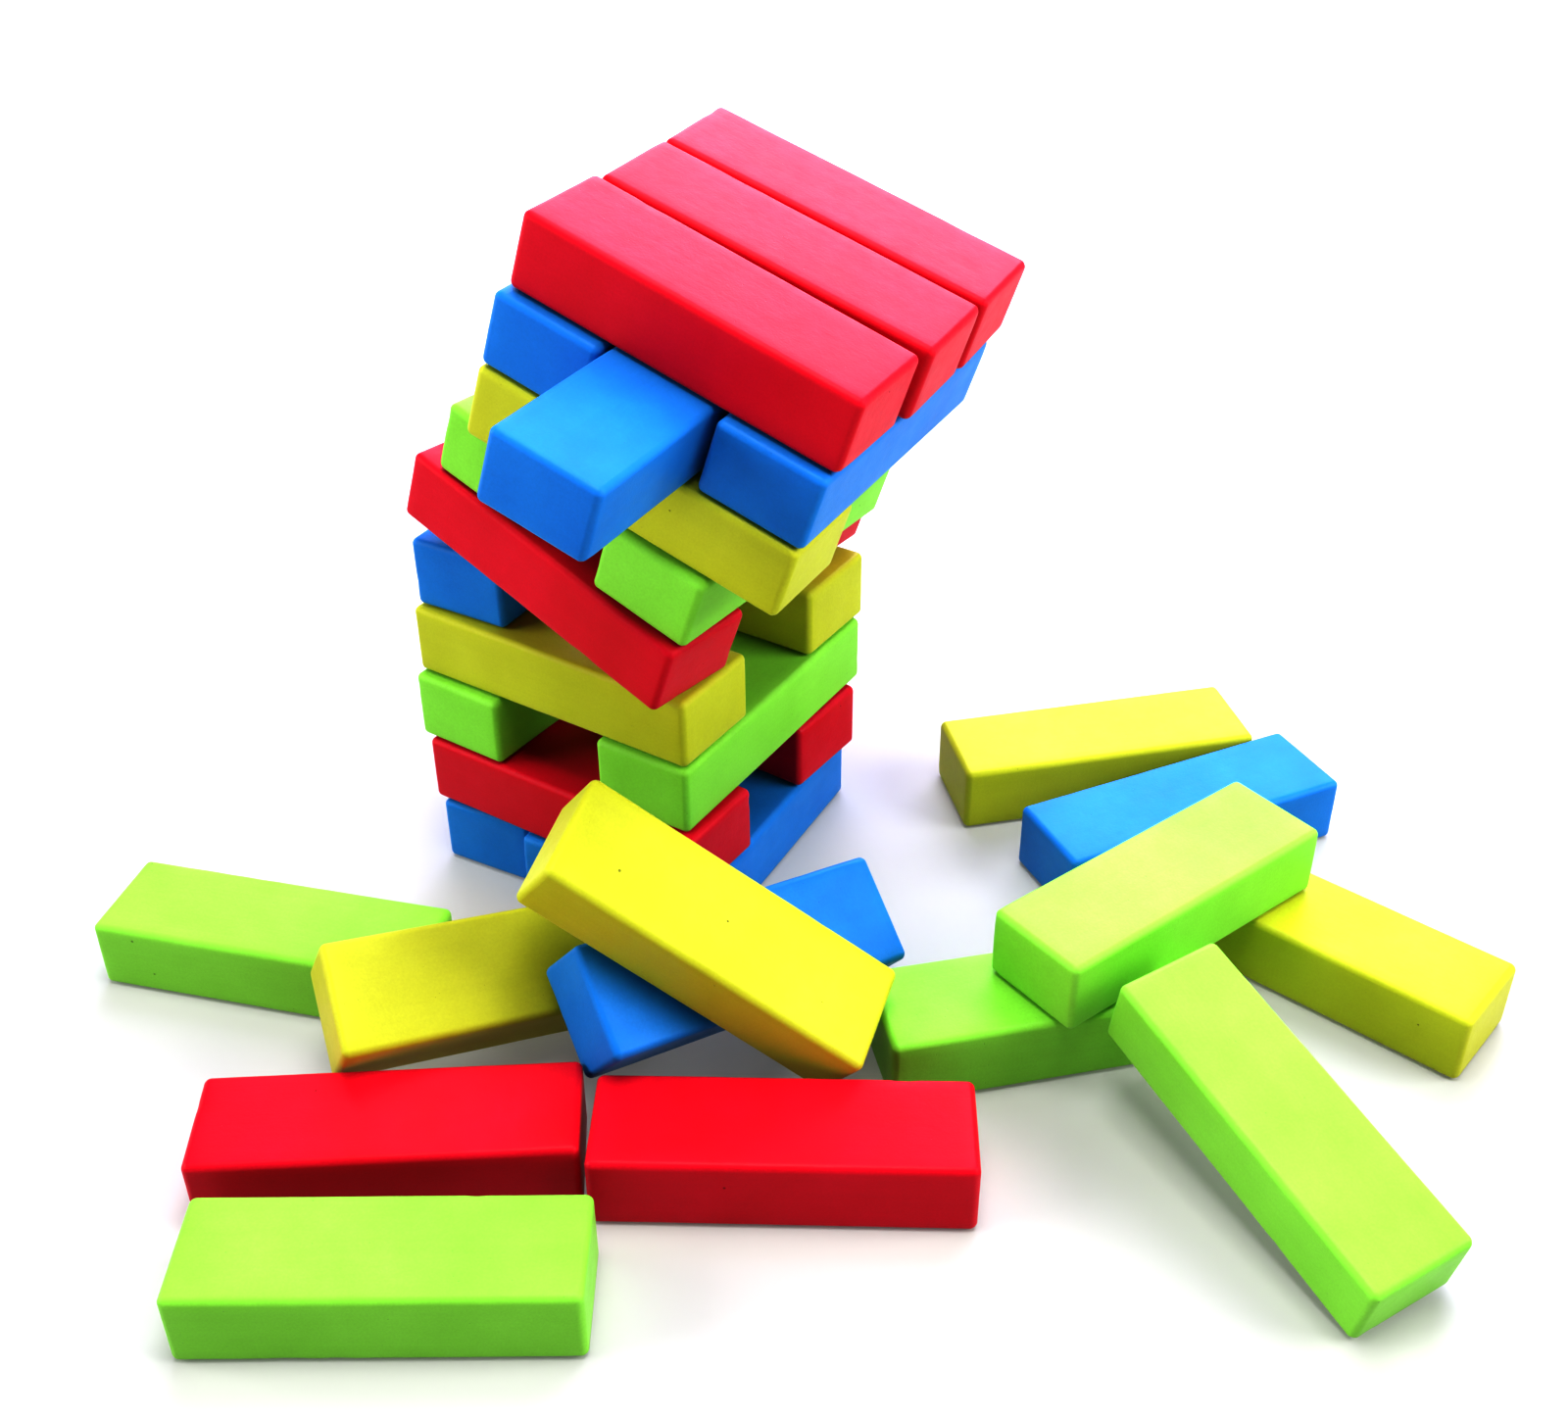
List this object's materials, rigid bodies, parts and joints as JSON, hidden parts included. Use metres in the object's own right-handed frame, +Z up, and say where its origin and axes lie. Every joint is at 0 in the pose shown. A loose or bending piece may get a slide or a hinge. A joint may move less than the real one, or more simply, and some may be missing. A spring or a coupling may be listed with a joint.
{
  "type": "giant tumbling tower",
  "caption": "Giant foam tumbling tower caught as its upper rows tip over, with fallen blocks lying and leaning on the floor around it.",
  "frame": {"origin": "middle of the tower's bottom row, on the floor", "axes": "+X along the blocks of the tower's even rows, towards the side that the tower tips to; +Y along the blocks of the odd rows, away from the fallen pile's front; +Z up"},
  "size_m": [0.9176, 0.9035, 0.5375],
  "materials": {
    "foam_red": "closed-cell EVA foam, smooth satin skin with a faint mottle and a few open pores",
    "foam_blue": "closed-cell EVA foam, smooth satin skin with a faint mottle and a few open pores",
    "foam_green": "closed-cell EVA foam, smooth satin skin with a faint mottle and a few open pores",
    "foam_yellow": "closed-cell EVA foam, smooth satin skin with a faint mottle and a few open pores"
  },
  "bodies": {
    "row_01_left_blue": {"row_01_left_blue": "foam_blue"},
    "row_01_middle_blue": {"row_01_middle_blue": "foam_blue"},
    "row_01_right_blue": {"row_01_right_blue": "foam_blue"},
    "row_02_front_red": {"row_02_front_red": "foam_red"},
    "row_02_rear_red": {"row_02_rear_red": "foam_red"},
    "row_03_left_green": {"row_03_left_green": "foam_green"},
    "row_03_right_green": {"row_03_right_green": "foam_green"},
    "row_04_front_yellow": {"row_04_front_yellow": "foam_yellow"},
    "row_04_rear_yellow": {"row_04_rear_yellow": "foam_yellow"},
    "row_05_left_blue": {"row_05_left_blue": "foam_blue"},
    "row_06_front_red": {"row_06_front_red": "foam_red"},
    "row_06_rear_red": {"row_06_rear_red": "foam_red"},
    "row_07_left_green": {"row_07_left_green": "foam_green"},
    "row_07_right_green": {"row_07_right_green": "foam_green"},
    "row_08_front_yellow": {"row_08_front_yellow": "foam_yellow"},
    "row_08_middle_yellow": {"row_08_middle_yellow": "foam_yellow"},
    "row_08_rear_yellow": {"row_08_rear_yellow": "foam_yellow"},
    "row_09_left_blue": {"row_09_left_blue": "foam_blue"},
    "row_09_middle_blue": {"row_09_middle_blue": "foam_blue"},
    "row_09_right_blue": {"row_09_right_blue": "foam_blue"},
    "row_10_front_red": {"row_10_front_red": "foam_red"},
    "row_10_middle_red": {"row_10_middle_red": "foam_red"},
    "row_10_rear_red": {"row_10_rear_red": "foam_red"},
    "loose_green_front": {"loose_green_front": "foam_green"},
    "loose_red_left": {"loose_red_left": "foam_red"},
    "loose_red_right": {"loose_red_right": "foam_red"},
    "loose_green_left": {"loose_green_left": "foam_green"},
    "loose_yellow_left": {"loose_yellow_left": "foam_yellow"},
    "loose_blue_middle": {"loose_blue_middle": "foam_blue"},
    "loose_yellow_front": {"loose_yellow_front": "foam_yellow"},
    "loose_green_middle": {"loose_green_middle": "foam_green"},
    "loose_green_top": {"loose_green_top": "foam_green"},
    "loose_green_near": {"loose_green_near": "foam_green"},
    "loose_blue_right": {"loose_blue_right": "foam_blue"},
    "loose_yellow_right": {"loose_yellow_right": "foam_yellow"},
    "loose_yellow_far": {"loose_yellow_far": "foam_yellow"}
  },
  "joints": [
    {"name": "row_01_left_blue_slide", "type": "slide", "parent": "row_01_middle_blue", "child": "row_01_left_blue", "axis": [-0.0872, 0.9962, 0], "range_m": [0, 0.26]},
    {"name": "row_01_right_blue_slide", "type": "slide", "parent": "row_01_middle_blue", "child": "row_01_right_blue", "axis": [-0.0872, 0.9962, 0], "range_m": [0, 0.26]},
    {"name": "row_02_front_red_slide", "type": "slide", "parent": "row_01_middle_blue", "child": "row_02_front_red", "axis": [-1, 0, 0], "range_m": [0, 0.26]},
    {"name": "row_02_rear_red_slide", "type": "slide", "parent": "row_01_middle_blue", "child": "row_02_rear_red", "axis": [-0.9994, 0.0349, 0], "range_m": [0, 0.26]},
    {"name": "row_03_left_green_slide", "type": "slide", "parent": "row_01_middle_blue", "child": "row_03_left_green", "axis": [0.0175, 0.9998, 0], "range_m": [0, 0.26]},
    {"name": "row_03_right_green_slide", "type": "slide", "parent": "row_01_middle_blue", "child": "row_03_right_green", "axis": [-0.0175, 0.9998, 0], "range_m": [0, 0.26]},
    {"name": "row_04_front_yellow_slide", "type": "slide", "parent": "row_01_middle_blue", "child": "row_04_front_yellow", "axis": [-1, 0, 0], "range_m": [0, 0.26]},
    {"name": "row_04_rear_yellow_slide", "type": "slide", "parent": "row_01_middle_blue", "child": "row_04_rear_yellow", "axis": [-1, 0, 0], "range_m": [0, 0.26]},
    {"name": "row_05_left_blue_slide", "type": "slide", "parent": "row_01_middle_blue", "child": "row_05_left_blue", "axis": [-0.0523, 0.9986, 0], "range_m": [0, 0.26]},
    {"name": "upper_rows_tip", "type": "hinge", "parent": "row_01_middle_blue", "child": "row_06_front_red", "pos_m": [-0.05355, 0.01878, 0.2666], "axis": [-0.0523, 0.9986, 0], "range_deg": [-18.5, 0]},
    {"name": "row_06_rear_red_slide", "type": "slide", "parent": "row_06_front_red", "child": "row_06_rear_red", "axis": [-0.9473, 0.055, 0.3156], "range_m": [0, 0.26]},
    {"name": "row_07_left_green_slide", "type": "slide", "parent": "row_06_front_red", "child": "row_07_left_green", "axis": [0.0469, 0.9983, -0.0332], "range_m": [0, 0.26]},
    {"name": "row_07_right_green_slide", "type": "slide", "parent": "row_06_front_red", "child": "row_07_right_green", "axis": [0.0139, 0.9997, -0.0221], "range_m": [0, 0.26]},
    {"name": "row_08_front_yellow_slide", "type": "slide", "parent": "row_06_front_red", "child": "row_08_front_yellow", "axis": [-0.946, -0.0671, 0.3173], "range_m": [0, 0.26]},
    {"name": "row_08_middle_yellow_slide", "type": "slide", "parent": "row_06_front_red", "child": "row_08_middle_yellow", "axis": [-0.947, -0.0496, 0.3173], "range_m": [0, 0.26]},
    {"name": "row_08_rear_yellow_slide", "type": "slide", "parent": "row_06_front_red", "child": "row_08_rear_yellow", "axis": [-0.947, -0.0496, 0.3173], "range_m": [0, 0.26]},
    {"name": "row_09_left_blue_slide", "type": "slide", "parent": "row_06_front_red", "child": "row_09_left_blue", "axis": [-0.0689, 0.9976, 0.0055], "range_m": [0, 0.26]},
    {"name": "row_09_middle_blue_slide", "type": "slide", "parent": "row_06_front_red", "child": "row_09_middle_blue", "axis": [0.0689, -0.9976, -0.0055], "range_m": [-0.115, 0.15]},
    {"name": "row_09_right_blue_slide", "type": "slide", "parent": "row_06_front_red", "child": "row_09_right_blue", "axis": [-0.0689, 0.9976, 0.0055], "range_m": [0, 0.26]},
    {"name": "row_10_front_red_lift", "type": "slide", "parent": "row_06_front_red", "child": "row_10_front_red", "axis": [0.3169, 0.0166, 0.9483], "range_m": [0, 0.2]},
    {"name": "row_10_middle_red_lift", "type": "slide", "parent": "row_06_front_red", "child": "row_10_middle_red", "axis": [0.3169, 0.0166, 0.9483], "range_m": [0, 0.2]},
    {"name": "row_10_rear_red_lift", "type": "slide", "parent": "row_06_front_red", "child": "row_10_rear_red", "axis": [0.3169, 0.0166, 0.9483], "range_m": [0, 0.2]},
    {"name": "loose_green_front_lift", "type": "slide", "parent": "row_01_middle_blue", "child": "loose_green_front", "axis": [0, 0, 1], "range_m": [0, 0.2]},
    {"name": "loose_red_left_slide", "type": "slide", "parent": "row_01_middle_blue", "child": "loose_red_left", "axis": [-0.809, -0.5878, 0], "range_m": [0, 0.25]},
    {"name": "loose_red_right_slide", "type": "slide", "parent": "row_01_middle_blue", "child": "loose_red_right", "axis": [0.866, -0.5, 0], "range_m": [0, 0.25]},
    {"name": "loose_green_left_slide", "type": "slide", "parent": "row_01_middle_blue", "child": "loose_green_left", "axis": [-0.9455, -0.3256, 0], "range_m": [0, 0.25]},
    {"name": "loose_yellow_left_lift", "type": "slide", "parent": "row_01_middle_blue", "child": "loose_yellow_left", "axis": [-0.766, 0, 0.6428], "range_m": [0, 0.2]},
    {"name": "loose_blue_middle_lift", "type": "slide", "parent": "row_01_middle_blue", "child": "loose_blue_middle", "axis": [0, 0, 1], "range_m": [0, 0.15]},
    {"name": "loose_yellow_front_lift", "type": "slide", "parent": "loose_blue_middle", "child": "loose_yellow_front", "axis": [0.6272, -0.0823, 0.7745], "range_m": [0, 0.2]},
    {"name": "loose_green_middle_lift", "type": "slide", "parent": "row_01_middle_blue", "child": "loose_green_middle", "axis": [0.3536, 0.3536, 0.866], "range_m": [0, 0.2]},
    {"name": "loose_green_top_lift", "type": "slide", "parent": "loose_green_middle", "child": "loose_green_top", "axis": [0, 0, 1], "range_m": [0, 0.15]},
    {"name": "loose_green_near_slide", "type": "slide", "parent": "loose_green_middle", "child": "loose_green_near", "axis": [0.891, -0.454, 0], "range_m": [0, 0.25]},
    {"name": "loose_blue_right_lift", "type": "slide", "parent": "row_01_middle_blue", "child": "loose_blue_right", "axis": [0, 0, 1], "range_m": [0, 0.2]},
    {"name": "loose_yellow_right_slide", "type": "slide", "parent": "row_01_middle_blue", "child": "loose_yellow_right", "axis": [0.9903, -0.1392, 0], "range_m": [0, 0.25]},
    {"name": "loose_yellow_far_lift", "type": "slide", "parent": "row_01_middle_blue", "child": "loose_yellow_far", "axis": [0, 0, 1], "range_m": [0, 0.2]}
  ]
}
